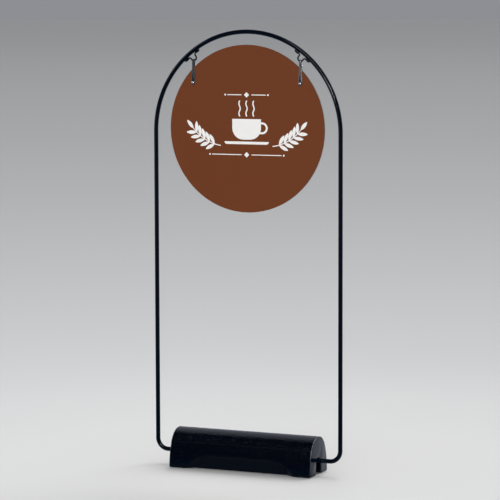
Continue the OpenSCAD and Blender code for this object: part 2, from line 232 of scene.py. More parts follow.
# The pattern mixes a finish's two colours and adds to its lowest roughness. The grain is its bump
finishLooks = {
    "barPaint": {"pattern": (60, 2, 0.5), "roughness": (0.09, 0.09), "specular": 0.3,
                 "colours": ((0.0004, 0.0020, 0.0060, 1), (0.0010, 0.0032, 0.0085, 1)),
                 "grain": (700, 2, 0.55), "depth": 0.07 * mm},
    "screwSteel": {"pattern": (500, 2, 0.5), "roughness": (0.18, 0.10), "metallic": 1.0,
                   "colours": ((0.80, 0.80, 0.80, 1), (0.90, 0.90, 0.90, 1))},
    "platedSteel": {"pattern": (180, 3, 0.6), "roughness": (0.28, 0.22), "metallic": 1.0,
                    "colours": ((0.42, 0.42, 0.40, 1), (0.58, 0.58, 0.55, 1)),
                    "grain": (900, 2, 0.5), "depth": 0.03 * mm},
    "footRubber": {"pattern": (1400, 2, 0.6), "roughness": (0.62, 0.2),
                   "colours": ((0.018, 0.018, 0.018, 1), (0.030, 0.030, 0.029, 1)),
                   "grain": (1400, 2, 0.6), "depth": 0.08 * mm},
    "printFilm": {"pattern": (14, 3, 0.5), "roughness": (0.56, 0.08), "specular": 0.12,
                  "colours": ((0.149, 0.0405, 0.0122, 1), (0.160, 0.0436, 0.0132, 1)),
                  "grain": (2200, 2, 0.6), "depth": 0.02 * mm},
    "printInk": {"pattern": (40, 2, 0.5), "roughness": (0.52, 0.08),
                 "colours": ((0.86, 0.85, 0.83, 1), (0.91, 0.90, 0.88, 1))},
    "boardSkin": {"pattern": (1200, 2, 0.6, (1, 0.05, 1)), "roughness": (0.30, 0.18),
                  "metallic": 1.0, "colours": ((0.50, 0.50, 0.51, 1), (0.66, 0.66, 0.67, 1))},
    "boardCore": {"pattern": (1600, 3, 0.6), "roughness": (0.55, 0.25),
                  "colours": ((0.045, 0.045, 0.048, 1), (0.075, 0.075, 0.080, 1)),
                  "grain": (1600, 3, 0.6), "depth": 0.06 * mm},
}


def patternFinish(name):
    look = finishLooks[name]
    finish = Finish(bpy.data.materials.new(name))
    pattern = finish.noise(*look["pattern"])
    lowest, spread = look["roughness"]
    sockets = {key: look[key] for key in ("metallic", "specular") if key in look}
    if "grain" in look:
        sockets["normal"] = finish.bump(finish.noise(*look["grain"]), look["depth"])
    return finish.surface(colour=finish.mix(pattern, *look["colours"]),
                          roughness=lowest + pattern * spread, **sockets)


finishes = {
    "base_paint": castPaint(castPaintLook),
    "hoop_paint": patternFinish("barPaint"),
    "strap_steel": strapSteel(strapSteelLook),
    "screw_steel": patternFinish("screwSteel"),
    "plated_steel": patternFinish("platedSteel"),
    "rubber": patternFinish("footRubber"),
    "print_film": patternFinish("printFilm"),
    "board_skin": patternFinish("boardSkin"),
    "board_core": patternFinish("boardCore"),
}
inkFinish = patternFinish("printInk")
slotOfNode = {part["node"]: part["material_slot"] for part in frame["record"]["subparts"]}
for nodeName, nodeObject in nodes.items():
    nodeObject.data.materials.clear()
    nodeObject.data.materials.append(finishes[slotOfNode[nodeName]])
print("finishes made")


# Modelling helpers

facingFront = (math.pi / 2, 0, 0)  # the turn of a round primitive whose axis runs front to rear


def deselectAll():
    bpy.ops.object.select_all(action="DESELECT")


def editMode():
    bpy.ops.object.mode_set(mode="EDIT")


def objectMode():
    bpy.ops.object.mode_set(mode="OBJECT")


def selectMesh():
    bpy.ops.mesh.select_all(action="SELECT")


def mergeMesh(gap):
    selectMesh()
    bpy.ops.mesh.remove_doubles(threshold=gap)


def faceOutwards():
    selectMesh()
    bpy.ops.mesh.normals_make_consistent(inside=False)


def applyPlace():
    bpy.ops.object.transform_apply(location=True, rotation=True, scale=True)


def makeActive(piece):
    deselectAll()
    piece.select_set(True)
    bpy.context.view_layer.objects.active = piece


def copyOfNode(nodeName, pieceName):
    piece = bpy.data.objects.new(pieceName, nodes[nodeName].data.copy())
    bpy.context.scene.collection.objects.link(piece)
    makeActive(piece)
    bpy.ops.mesh.customdata_custom_splitnormals_clear()
    editMode()
    mergeMesh(0.002 * mm)
    objectMode()
    return piece


def copyTo(pattern, place):
    piece = pattern.copy()
    piece.data = pattern.data.copy()
    bpy.context.scene.collection.objects.link(piece)
    piece.location = place
    makeActive(piece)
    applyPlace()
    return piece


def joinPieces(pieces):
    deselectAll()
    for piece in pieces:
        piece.select_set(True)
    bpy.context.view_layer.objects.active = pieces[0]
    bpy.ops.object.join()
    return pieces[0]


def applyModifier(piece, kind, **settings):
    makeActive(piece)
    bpy.ops.object.modifier_add(type=kind)
    modifier = piece.modifiers[-1]
    for key, setting in settings.items():
        setattr(modifier, key, setting)
    bpy.ops.object.modifier_apply(modifier=modifier.name)


def cutAway(piece, cutter):
    applyModifier(piece, "BOOLEAN", operation="DIFFERENCE", object=cutter, solver="EXACT")
    bpy.data.objects.remove(cutter)


def drill(piece, radius, depth, place, turn=(0, 0, 0), sides=48):
    deselectAll()
    bpy.ops.mesh.primitive_cylinder_add(vertices=sides, radius=radius, depth=depth,
                                        location=place, rotation=turn)
    cutAway(piece, bpy.context.object)


def roundEdges(piece, width, segments=2, degrees=40):
    applyModifier(piece, "BEVEL", width=width, segments=segments, limit_method="ANGLE",
                  angle_limit=math.radians(degrees))


def fixOrder(piece):
    # a boolean gives its vertices in an order that varies, and a merge depends on the order
    mesh = bmesh.new()
    mesh.from_mesh(piece.data)
    ordered = sorted(mesh.verts, key=lambda v: (v.co / mm).to_tuple(4))
    ranks = {v: rank for rank, v in enumerate(ordered)}
    mesh.verts.sort(key=lambda v: ranks[v])
    mesh.to_mesh(piece.data)
    mesh.free()


def dropSlivers(piece):
    fixOrder(piece)
    makeActive(piece)
    editMode()
    mergeMesh(0.003 * mm)
    bpy.ops.mesh.delete_loose()
    objectMode()


def smoothByAngle(piece, degrees):
    makeActive(piece)
    bpy.ops.object.shade_smooth_by_angle(angle=math.radians(degrees))


def clearSelection(piece):
    makeActive(piece)
    editMode()
    bpy.ops.mesh.select_all(action="DESELECT")
    objectMode()


def selectVertices(piece, wanted):
    clearSelection(piece)
    bpy.context.tool_settings.mesh_select_mode = (True, False, False)
    for vertex in piece.data.vertices:
        vertex.select = wanted(vertex.co)


def selectEdges(piece, wanted):
    clearSelection(piece)
    bpy.context.tool_settings.mesh_select_mode = (False, True, False)
    corners = piece.data.vertices
    for edge in piece.data.edges:
        edge.select = wanted(corners[edge.vertices[0]].co, corners[edge.vertices[1]].co)


def bevelSharp(piece, degrees, wanted, width, segments):
    clearSelection(piece)
    bpy.context.tool_settings.mesh_select_mode = (False, True, False)
    editMode()
    bpy.ops.mesh.edges_select_sharp(sharpness=math.radians(degrees))
    objectMode()
    sharp = {edge.index for edge in piece.data.edges if edge.select}
    corners = piece.data.vertices
    clearSelection(piece)
    for edge in piece.data.edges:
        ends = [corners[i].co for i in edge.vertices]
        edge.select = edge.index in sharp and wanted(*ends)
    editMode()
    bpy.ops.mesh.bevel(offset=width, segments=segments, profile=0.5, clamp_overlap=False)
    objectMode()
    bpy.context.tool_settings.mesh_select_mode = (True, False, False)


def scaleRows(piece, wanted, share):
    selectVertices(piece, wanted)
    editMode()
    bpy.ops.transform.resize(value=(share, 1, 1), center_override=(0, 0, 0))
    objectMode()


def finishPiece(piece, name, slot, body, replaced=(), look=None):
    piece.name = name
    piece.data.name = name
    piece.data.materials.clear()
    piece.data.materials.append(look or finishes[slot])
    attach(piece, body)
    if replaced:
        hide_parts(*replaced)


# Drawing: a point, an edge or a ring is extruded along straight runs and spun round bends

def extrudeBy(step):
    bpy.ops.mesh.extrude_region_move(TRANSFORM_OT_translate={"value": step})


def beginPoint(name, place):
    deselectAll()
    bpy.context.tool_settings.mesh_select_mode = (True, False, False)
    bpy.ops.mesh.primitive_plane_add(size=1 * mm, location=place)
    piece = bpy.context.object
    piece.name = name
    applyPlace()
    editMode()
    selectMesh()
    bpy.ops.mesh.merge(type="CENTER")
    return piece


def beginBar(name, place, heading, radius, sides):
    deselectAll()
    bpy.context.tool_settings.mesh_select_mode = (True, False, False)
    turn = Vector(heading).to_track_quat("Z", "Y").to_euler()
    bpy.ops.mesh.primitive_circle_add(vertices=sides, radius=radius, location=place, rotation=turn)
    piece = bpy.context.object
    piece.name = name
    applyPlace()
    editMode()
    selectMesh()
    return piece


def followRoute(place, ahead, normal, route):
    place, ahead, normal = Vector(place), Vector(ahead).normalized(), Vector(normal)
    for run in route:
        if len(run) == 1:
            extrudeBy(ahead * run[0])
            place = place + ahead * run[0]
        else:
            radius, degrees, steps = run
            axis = normal if degrees > 0 else -normal
            centre = place + axis.cross(ahead) * radius
            # spin turns the other way round its axis
            bpy.ops.mesh.spin(steps=steps, angle=-math.radians(abs(degrees)), center=centre,
                              axis=axis)
            turn = Matrix.Rotation(math.radians(degrees), 3, normal)
            place = centre + turn @ (place - centre)
            ahead = turn @ ahead
    return place


def closeBar():
    mergeMesh(0.02 * mm)
    bpy.ops.mesh.fill_holes(sides=0)
    faceOutwards()
    objectMode()


# Base casting: a saddle that is cast hollow, with two finger recesses, and ground flat at its ends

castBaseForm = {
    "halfLength": 172.5 * mm,
    "allowance": 3 * mm,  # what is ground off each end
    "halfWidth": 52.5 * mm,
    "foot": 1.0 * mm,  # height at which the pads hold the iron
    "crownRadius": 44.5 * mm,
    "flankRadius": 153.5625 * mm,
    "flankSweep": 22.082,  # degrees
    "flankCentre": 101.0625 * mm,
    "seamRadius": 1.2 * mm,
    "seamRise": 0.9 * mm,
    "seamPlace": (41.236 * mm, 58.727 * mm),
    "seamInset": 0.3 * mm,
    "seamStep": 1.5 * mm,
    "seamBreaks": {"size": 9 * mm, "strength": 1.4 * mm, "middle": 0.58},
    "cavityHalfLength": 154.5 * mm,
    "cavityHalfWidth": 22 * mm,
    "cavitySpring": 44.5 * mm,
    "slotFootHalf": 15.5 * mm,
    "slotHalf": 13.5 * mm,
    "slotSpring": 25.7 * mm,
    "recess": {"half": 133 * mm, "height": 33 * mm, "depth": 14 * mm, "lean": 20 * mm,
               "round": 43 * mm, "flank": 18 * mm, "levels": 12,
               "outside": 6 * mm, "below": 5 * mm},  # how far the cutter stands clear
    "padPlace": (153.5 * mm, 37.25 * mm),
    "padRadius": 9.6 * mm,
    "padDepth": 3.0 * mm,
    "grain": 1.5 * mm,  # size of the facets that the cast skin is remade with
    "skinRoughness": 0.45 * mm,
    "skinLump": 4.5 * mm,
    "rimRound": 0.7 * mm,
}

ribForm = {
    "place": 100 * mm,
    "halfLength": 12 * mm,
    "halfWidth": 24 * mm,
    "foot": 28.0 * mm,
    "top": 68.5 * mm,
    "barHeight": 32 * mm,
    "saddleRadius": 5.1 * mm,
    "tapRadius": 3.1 * mm,
    "tapPlace": 13.5 * mm,
    "tapTop": 42.3 * mm,
    "through": 60 * mm,  # length of what is cut through it
    "edgeRound": 0.5 * mm,
}


def makeArchCutter(halfFoot, half, spring, foot, length):
    below = 4 * mm
    cutter = beginPoint("archCutter", (-length / 2, -halfFoot, foot - below))
    extrudeBy((0, 0, below))
    extrudeBy((0, halfFoot - half, spring - foot))
    bpy.ops.mesh.spin(steps=28, angle=math.pi, center=(-length / 2, 0, spring), axis=(1, 0, 0))
    extrudeBy((0, halfFoot - half, foot - spring))
    extrudeBy((0, 0, -below))
    mergeMesh(0.01 * mm)
    bpy.ops.mesh.edge_face_add()
    extrudeBy((length, 0, 0))
    faceOutwards()
    objectMode()
    return cutter


def recessLoop(form, share):
    recess = form["recess"]
    across, down = math.cos(share * math.pi / 2), math.sin(share * math.pi / 2)
    half = recess["half"] - recess["lean"] * down - recess["round"] * (1 - across)
    back = half - recess["flank"] * across
    level = recess["height"] * down
    face = form["flankCentre"] - math.sqrt(form["flankRadius"] ** 2 - level ** 2)
    depth = face + recess["depth"] * across
    outside = face - recess["outside"]
    corners = [(-half, outside), (half, outside), (half, face), (back, depth), (-back, depth),
               (-half, face)]
    return corners, form["foot"] + level


def makeRecessCutter(form):
    loops, heights = [], []
    levels = form["recess"]["levels"]
    for number in range(-1, levels):
        corners, height = recessLoop(form, max(number, 0) / (levels - 1))
        if number < 0:
            height = height - form["recess"]["below"]
        loop = beginPoint("recessLoop", corners[0] + (height,))
        for (x0, y0), (x1, y1) in zip(corners, corners[1:]):
            extrudeBy((x1 - x0, y1 - y0, 0))
        selectMesh()
        bpy.ops.mesh.edge_face_add()
        if 0 <= number < levels - 1:
            bpy.ops.mesh.delete(type="ONLY_FACE")
        objectMode()
        loops.append(loop)
        heights.append(height)
    cutter = joinPieces(loops)
    for low, high in zip(heights, heights[1:]):
        selectEdges(cutter, lambda a, b: abs(a.z - b.z) < 0.001 * mm and (
            min(abs(a.z - low), abs(a.z - high)) < 0.001 * mm))
        editMode()
        bpy.ops.mesh.bridge_edge_loops()
        objectMode()
    editMode()
    faceOutwards()
    objectMode()
    return cutter


def makeBlock(place, size):
    deselectAll()
    bpy.ops.mesh.primitive_cube_add(size=1, location=place, scale=size)
    return bpy.context.object


def makeRib(form):
    foot, top, through = form["foot"], form["top"], form["through"]
    rib = makeBlock((0, 0, (foot + top) / 2),
                    (2 * form["halfLength"], 2 * form["halfWidth"], top - foot))
    applyPlace()
    drill(rib, form["saddleRadius"], through, (0, 0, form["barHeight"]), (0, math.pi / 2, 0))
    middle = foot - 2 * mm
    cutAway(rib, makeBlock((0, 0, middle), (
        through, 2 * form["saddleRadius"], 2 * (form["barHeight"] - middle))))
    for side in (-1, 1):
        drill(rib, form["tapRadius"], 2 * (form["tapTop"] - foot),
              (0, side * form["tapPlace"], foot), sides=32)
    roundEdges(rib, form["edgeRound"], 2, 50)
    return rib


def makeSeam(form, side):
    reach = form["halfLength"] - form["seamInset"]
    across = side * (form["seamPlace"][0] + form["seamRise"] - form["seamRadius"])
    place = (-reach, across, form["seamPlace"][1])
    seam = beginBar("seam", place, (1, 0, 0), form["seamRadius"], 16)
    step, breaks = form["seamStep"], form["seamBreaks"]
    followRoute(place, (1, 0, 0), (0, 1, 0), [(step,)] * int(2 * reach / step))
    closeBar()
    broken = bpy.data.textures.new("seamBreaks", "CLOUDS")
    broken.noise_scale = breaks["size"]
    applyModifier(seam, "DISPLACE", texture=broken, texture_coords="LOCAL",
                  strength=breaks["strength"], mid_level=breaks["middle"])
    return seam


def makeCastBase(form):
    reach = form["halfLength"] + form["allowance"]
    start = Vector((-reach, -form["halfWidth"], form["foot"]))
    piece = beginPoint("castBase", start)
    followRoute(start, (0, 0, 1), (1, 0, 0), [
        (form["flankRadius"], -form["flankSweep"], 14),
        (form["crownRadius"], 2 * form["flankSweep"] - 180, 80),
        (form["flankRadius"], -form["flankSweep"], 14)])
    mergeMesh(0.01 * mm)
    bpy.ops.mesh.edge_face_add()
    extrudeBy((2 * reach, 0, 0))
    faceOutwards()
    objectMode()
    foot, cavity = form["foot"], form["cavityHalfWidth"]
    cutAway(piece, makeArchCutter(cavity, cavity, form["cavitySpring"], foot,
                                  2 * form["cavityHalfLength"]))
    cutAway(piece, makeArchCutter(form["slotFootHalf"], form["slotHalf"], form["slotSpring"], foot,
                                  2 * reach + 20 * mm))
    recess = makeRecessCutter(form)
    rearRecess = copyTo(recess, (0, 0, 0))
    rearRecess.rotation_euler = (0, 0, math.pi)
    applyPlace()
    cutAway(piece, recess)
    cutAway(piece, rearRecess)
    padX, padY = form["padPlace"]
    for x in (-padX, padX):
        for y in (-padY, padY):
            drill(piece, form["padRadius"], 2 * (form["padDepth"] - foot), (x, y, foot), sides=40)
    applyModifier(piece, "REMESH", mode="VOXEL", voxel_size=form["grain"], adaptivity=0)
    applyModifier(piece, "SMOOTH", factor=0.5, iterations=3)
    skin = bpy.data.textures.new("castSkin", "CLOUDS")
    skin.noise_scale = form["skinLump"]
    skin.noise_depth = 1
    applyModifier(piece, "DISPLACE", texture=skin, texture_coords="LOCAL",
                  strength=form["skinRoughness"], mid_level=1.0)
    for side in (-1, 1):
        makeActive(piece)
        editMode()
        selectMesh()
        bpy.ops.mesh.bisect(plane_co=(side * form["halfLength"], 0, 0), plane_no=(side, 0, 0),
                            use_fill=True, clear_outer=True)
        objectMode()
    end = form["halfLength"] - 0.02 * mm
    bevelSharp(piece, 40, lambda a, b: min(abs(a.x), abs(b.x)) > end, form["rimRound"], 3)
    rib = makeRib(ribForm)
    ribs = [copyTo(rib, (side * ribForm["place"], 0, 0)) for side in (-1, 1)]
    bpy.data.objects.remove(rib)
    piece = joinPieces([piece] + ribs + [makeSeam(form, side) for side in (-1, 1)])
    smoothByAngle(piece, 40)
    finishPiece(piece, "castBase", "base_paint", "stand", ("base_casting",))


makeCastBase(castBaseForm)
print("base casting made")


# Hoop: one round bar bent to an arch, two legs and a bottom bar

hoopForm = {
    "barRadius": 5.0 * mm,
    "legX": 225 * mm,
    "bendRadius": 25 * mm,
    "barHeight": 32 * mm,
    "archHeight": 763 * mm,
    "sides": 32,
    "weldRadius": 5.8 * mm,
    "weldLength": 5 * mm,
    "weldRound": 0.9 * mm,
}


def makeHoop(form):
    leg = form["archHeight"] - form["barHeight"] - form["bendRadius"]
    half = form["legX"] - form["bendRadius"]
    start = Vector((0, 0, form["barHeight"]))
    piece = beginBar("hoopBar", start, (1, 0, 0), form["barRadius"], form["sides"])
    followRoute(start, (1, 0, 0), (0, 1, 0), [
        (half,), (form["bendRadius"], -90, 20), (leg,), (form["legX"], -180, 144), (leg,),
        (form["bendRadius"], -90, 20), (half,)])
    closeBar()
    weld = beginBar("hoopWeld", start - Vector((form["weldLength"] / 2, 0, 0)), (1, 0, 0),
                    form["weldRadius"], form["sides"])
    followRoute(start, (1, 0, 0), (0, 1, 0), [(form["weldLength"],)])
    closeBar()
    roundEdges(weld, form["weldRound"], 3, 30)
    joinPieces([piece, weld])
    smoothByAngle(piece, 40)
    finishPiece(piece, "hoopBar", "hoop_paint", "stand", ("hoop_frame",))


makeHoop(hoopForm)
print("hoop made")


# Eye loops: a bent wire welded under the arch on each side

eyeLoopForm = {
    "wireRadius": 1.75 * mm,
    "angle": 38,  # degrees from the top of the arch
    "ringRadius": 6.5 * mm,
    "bendRadius": 4 * mm,
    "depth": 12.5 * mm,
    "reach": 19 * mm,
    "archHeight": 763 * mm,
    "lineRadius": 217.319 * mm,  # the feet's line, from the arch's centre
    "weldRadius": 3.7 * mm,
    "weldLength": 4.5 * mm,
    "weldSetback": 0.5 * mm,
    "weldRise": 0.9 * mm,  # how far the bead climbs onto the arch
    "lump": 1.1 * mm,
    "lumpSize": 5 * mm,
    "lumpMiddle": 0.6,
}


def makeWeldBead(form, side):
    start = form["reach"] - form["weldSetback"] - form["weldLength"]
    deselectAll()
    bpy.ops.mesh.primitive_uv_sphere_add(
        segments=40, ring_count=24, radius=form["weldRadius"],
        location=(start, 0, form["weldRise"]), rotation=(0, math.pi / 2, 0))
    bead = bpy.context.object
    applyPlace()
    selectVertices(bead, lambda v: v.x > start + 0.05 * mm)
    editMode()
    bpy.ops.transform.translate(value=(form["weldLength"], 0, 0))
    selectMesh()
    bpy.ops.mesh.subdivide(number_cuts=1)
    objectMode()
    bead.scale = (side, 1, 1)
    applyPlace()
    return bead


def makeEyeLoop(form, side, name):
    straight = form["reach"] - form["ringRadius"] - form["bendRadius"]
    neck = form["depth"] - form["ringRadius"] - form["bendRadius"]
    start = Vector((form["reach"], 0, 0))
    wire = beginBar(name, start, (-1, 0, 0), form["wireRadius"], 24)
    followRoute(start, (-1, 0, 0), (0, 1, 0), [
        (straight,), (form["bendRadius"], -90, 10), (neck,), (form["ringRadius"], 180, 28), (neck,),
        (form["bendRadius"], -90, 10), (straight,)])
    closeBar()
    beads = [makeWeldBead(form, 1), makeWeldBead(form, -1)]
    for bead in beads:
        lumps = bpy.data.textures.new("weldLumps", "CLOUDS")
        lumps.noise_scale = form["lumpSize"]
        applyModifier(bead, "DISPLACE", texture=lumps, strength=form["lump"],
                      mid_level=form["lumpMiddle"])
    piece = joinPieces([wire] + beads)
    editMode()
    faceOutwards()
    objectMode()
    turn = Matrix.Rotation(math.radians(side * form["angle"]), 4, "Y")
    piece.matrix_world = Matrix.Translation((0, 0, form["archHeight"])) @ turn @ Matrix.Translation(
        (0, 0, form["lineRadius"]))
    makeActive(piece)
    applyPlace()
    smoothByAngle(piece, 45)
    return piece


for side, word in ((-1, "left"), (1, "right")):
    loop = makeEyeLoop(eyeLoopForm, side, word + "EyeWire")
    finishPiece(loop, word + "EyeWire", "hoop_paint", "stand", (word + "_eye_loop",))
print("eye loops made")


# Strap hangers: a steel strip folded over each loop

strapForm = {
    "pivotX": 130.10 * mm,
    "pivotZ": 923.02 * mm,
    "thickness": 1.0 * mm,
    "topWidth": 5.2 * mm,
    "endWidth": 9.8 * mm,
    "drop": 50 * mm,
    "throat": 11.5 * mm,
    "throatRound": 2.5 * mm,
    "eyeRadius": 2.64 * mm,
    "grip": 1.65 * mm,
    "holeRadius": 2.7 * mm,
    "edgeRound": 0.22 * mm,
}


def makeStrap(form, name):
    half = form["thickness"] / 2
    legY, foldY = form["grip"] + half, form["eyeRadius"] + half
    end = -form["drop"] - form["endWidth"] / 2
    piece = beginPoint(name, (-form["endWidth"] / 2, -legY, end))
    extrudeBy((0, 0, -form["drop"] - end))
    extrudeBy((0, 0, form["drop"] - form["throat"]))
    extrudeBy((0, legY - foldY, form["throat"]))
    bpy.ops.mesh.spin(steps=16, angle=math.pi, center=(0, 0, 0), axis=(1, 0, 0))
    extrudeBy((0, legY - foldY, -form["throat"]))
    extrudeBy((0, 0, form["throat"] - form["drop"]))
    extrudeBy((0, 0, end + form["drop"]))
    selectMesh()
    extrudeBy((form["endWidth"], 0, 0))
    objectMode()
    widening = (form["endWidth"] - form["topWidth"]) / form["drop"]
    throatWidth = form["topWidth"] + widening * form["throat"]
    scaleRows(piece, lambda v: abs(v.z + form["throat"]) < 0.1 * mm, throatWidth / form["endWidth"])
    scaleRows(piece, lambda v: v.z > -0.1 * mm, form["topWidth"] / form["endWidth"])
    selectVertices(piece, lambda v: v.z < end + 0.1 * mm)
    editMode()
    bpy.ops.mesh.bevel(affect="VERTICES", offset=form["endWidth"] / 2 - 0.02 * mm, segments=10)
    objectMode()
    selectEdges(piece, lambda a, b: max(abs(a.z + form["throat"]),
                                        abs(b.z + form["throat"])) < 0.1 * mm)
    editMode()
    bpy.ops.mesh.bevel(offset=form["throatRound"], segments=4)
    objectMode()
    applyModifier(piece, "SOLIDIFY", thickness=form["thickness"], offset=0, use_even_offset=True)
    drill(piece, form["holeRadius"], 20 * mm, (0, 0, -form["drop"]), facingFront)
    roundEdges(piece, form["edgeRound"], 2, 50)
    dropSlivers(piece)
    smoothByAngle(piece, 40)
    return piece


strap = makeStrap(strapForm, "strap")
for side, word in ((-1, "left"), (1, "right")):
    piece = copyTo(strap, (side * strapForm["pivotX"], 0, strapForm["pivotZ"]))
    finishPiece(piece, word + "Strap", "strap_steel", "sign", (word + "_strap_hanger",))
bpy.data.objects.remove(strap)
print("strap hangers made")


# Hanger screws, washers and cap nuts

screwForm = {
    "placeZ": 873.02 * mm,
    "headFace": 2.65 * mm,  # the strap's outer face, from the panel's middle
    "headHeight": 3.3 * mm,
    "ballRadius": 4.856 * mm,
    "crossLength": 5.0 * mm,
    "crossWidth": 1.2 * mm,
    "crossDepth": 1.8 * mm,
    "headRound": 0.18 * mm,
    "shankRadius": 2.5 * mm,
    "shankEnd": 9.95 * mm,
    "shankRoot": 0.3 * mm,  # how far it runs into the head
    "washerRadius": 5.0 * mm,
    "washerHole": 2.7 * mm,
    "washerThickness": 1.0 * mm,
    "washerRound": 0.14 * mm,
    "nutAcross": 8.0 * mm,
    "nutHeight": 4.5 * mm,
    "nutRound": 0.3 * mm,
    "domeRadius": 3.8 * mm,
    "domeRoot": 0.4 * mm,
}


def makeScrew(form):
    deselectAll()
    bpy.ops.mesh.primitive_uv_sphere_add(
        segments=64, ring_count=48, radius=form["ballRadius"], rotation=facingFront,
        location=(0, form["ballRadius"] - form["headHeight"], 0))
    head = bpy.context.object
    applyPlace()
    editMode()
    selectMesh()
    bpy.ops.mesh.bisect(plane_co=(0, 0, 0), plane_no=(0, 1, 0), use_fill=True, clear_outer=True)
    objectMode()
    for turn in (0, math.pi / 2):
        deselectAll()
        bpy.ops.mesh.primitive_cube_add(
            size=1, location=(0, -form["headHeight"], 0), rotation=(0, turn, 0),
            scale=(form["crossLength"], 2 * form["crossDepth"], form["crossWidth"]))
        cutter = bpy.context.object
        applyPlace()
        selectVertices(cutter, lambda v: v.y > -form["headHeight"])
        editMode()
        bpy.ops.transform.resize(value=(0.5, 1, 0.5), center_override=(0, 0, 0))
        objectMode()
        cutAway(head, cutter)
    roundEdges(head, form["headRound"])
    root = form["shankRoot"]
    shank = beginBar("shank", (0, -root, 0), (0, 1, 0), form["shankRadius"], 32)
    followRoute((0, 0, 0), (0, 1, 0), (0, 0, 1), [(form["shankEnd"] - form["headFace"] + root,)])
    closeBar()
    screw = joinPieces([head, shank])
    dropSlivers(screw)
    smoothByAngle(screw, 35)
    return screw


def makeWasher(form):
    deselectAll()
    bpy.ops.mesh.primitive_circle_add(vertices=56, radius=form["washerHole"],
                                      rotation=facingFront)
    washer = bpy.context.object
    applyPlace()
    editMode()
    selectMesh()
    extrudeBy((0, 0, 0))
    grow = form["washerRadius"] / form["washerHole"]
    bpy.ops.transform.resize(value=(grow, 1, grow), center_override=(0, 0, 0))
    selectMesh()
    extrudeBy((0, form["washerThickness"], 0))
    faceOutwards()
    objectMode()
    roundEdges(washer, form["washerRound"])
    smoothByAngle(washer, 35)
    return washer


def makeCapNut(form):
    deselectAll()
    bpy.ops.mesh.primitive_cylinder_add(
        vertices=6, radius=form["nutAcross"] / 2 / math.cos(math.pi / 6), depth=form["nutHeight"],
        location=(0, form["nutHeight"] / 2, 0), rotation=facingFront)
    nut = bpy.context.object
    applyPlace()
    roundEdges(nut, form["nutRound"], 3)
    deselectAll()
    bpy.ops.mesh.primitive_uv_sphere_add(segments=48, ring_count=32, radius=form["domeRadius"],
                                         location=(0, form["nutHeight"], 0), rotation=facingFront)
    dome = bpy.context.object
    applyPlace()
    editMode()
    selectMesh()
    bpy.ops.mesh.bisect(plane_co=(0, form["nutHeight"] - form["domeRoot"], 0),
                        plane_no=(0, 1, 0), use_fill=True, clear_inner=True)
    objectMode()
    nut = joinPieces([nut, dome])
    smoothByAngle(nut, 35)
    return nut


screw, washer, capNut = makeScrew(screwForm), makeWasher(screwForm), makeCapNut(screwForm)
for side, word in ((-1, "left"), (1, "right")):
    x, z, face = side * strapForm["pivotX"], screwForm["placeZ"], screwForm["headFace"]
    finishPiece(copyTo(screw, (x, -face, z)), word + "Screw", "screw_steel", "sign",
                (word + "_hanger_screw",))
    finishPiece(copyTo(washer, (x, face, z)), word + "Washer", "plated_steel", "sign",
                (word + "_rear_washer",))
    finishPiece(copyTo(capNut, (x, face + screwForm["washerThickness"], z)), word + "CapNut",
                "screw_steel", "sign", (word + "_cap_nut",))
for pattern in (screw, washer, capNut):
    bpy.data.objects.remove(pattern)
print("screws, washers and cap nuts made")


# Panel: a cut disc of composite board, a skin and a print film on each face

panelForm = {
    "radius": 187.5 * mm,
    "centreZ": 771.54 * mm,
    "holeX": 130.10 * mm,
    "holeZ": 873.02 * mm,
    "holeRadius": 2.7 * mm,
    # piece, CAD node, slot, and its near and far face from the panel's middle
    "layers": (
        ("panelBoard", "panel_core", "board_core", -1.2 * mm, 1.2 * mm),
        ("frontSkin", "panel_front_skin", "board_skin", -1.5 * mm, -1.2 * mm),
        ("rearSkin", "panel_rear_skin", "board_skin", 1.2 * mm, 1.5 * mm),
        ("frontFilm", "front_print_film", "print_film", -1.65 * mm, -1.5 * mm),
        ("rearFilm", "rear_print_film", "print_film", 1.5 * mm, 1.65 * mm),
    ),
}


def makeLayer(form, near, far):
    deselectAll()
    bpy.ops.mesh.primitive_circle_add(vertices=288, radius=form["radius"], fill_type="NGON",
                                      location=(0, near, form["centreZ"]), rotation=facingFront)
    layer = bpy.context.object
    applyPlace()
    editMode()
    selectMesh()
    extrudeBy((0, far - near, 0))
    faceOutwards()
    objectMode()
    for side in (-1, 1):
        drill(layer, form["holeRadius"], 20 * mm, (side * form["holeX"], 0, form["holeZ"]),
              facingFront)
    smoothByAngle(layer, 30)
    return layer


for pieceName, nodeName, slot, near, far in panelForm["layers"]:
    finishPiece(makeLayer(panelForm, near, far), pieceName, slot, "sign", (nodeName,))
print("panel layers made")


# Print: a cup on its saucer between two sprigs, drawn flat and laid on both faces

printForm = {
    "thickness": 0.05 * mm,
    "filmFace": 1.65 * mm,
    "cup": {"half": 35 * mm, "top": 22 * mm, "wall": 20 * mm, "round": 26 * mm},
    "saucer": {"half": 54 * mm, "top": -28.5 * mm, "round": 6 * mm},
    "handle": {"start": (33 * mm, 0, 13 * mm), "reach": 5 * mm, "round": 11 * mm,
               "tail": 9 * mm, "width": 4.5 * mm},
    "steam": {"places": (-17 * mm, 0, 17 * mm), "foot": 29 * mm, "round": 11 * mm,
              "width": 3 * mm},
    "sprig": {"start": (64 * mm, 0, -38 * mm), "lean": 8, "round": 105 * mm, "sweep": 42,
              "width": 2.2 * mm, "leaves": (8, 15, 22, 29, 36), "leafTurn": 44,
              "leafLength": 25 * mm, "leafHalfWidth": 4.1 * mm, "leafGap": 0.5 * mm},
    "rules": {"places": (-58 * mm, 76 * mm), "from": 13 * mm, "to": (84 * mm, 46 * mm),
              "width": 1.9 * mm, "dot": 2.1 * mm, "dotGap": 6 * mm, "diamond": 6.2 * mm},
}


def flatHeading(degrees):
    return Vector((math.cos(math.radians(degrees)), 0, math.sin(math.radians(degrees))))


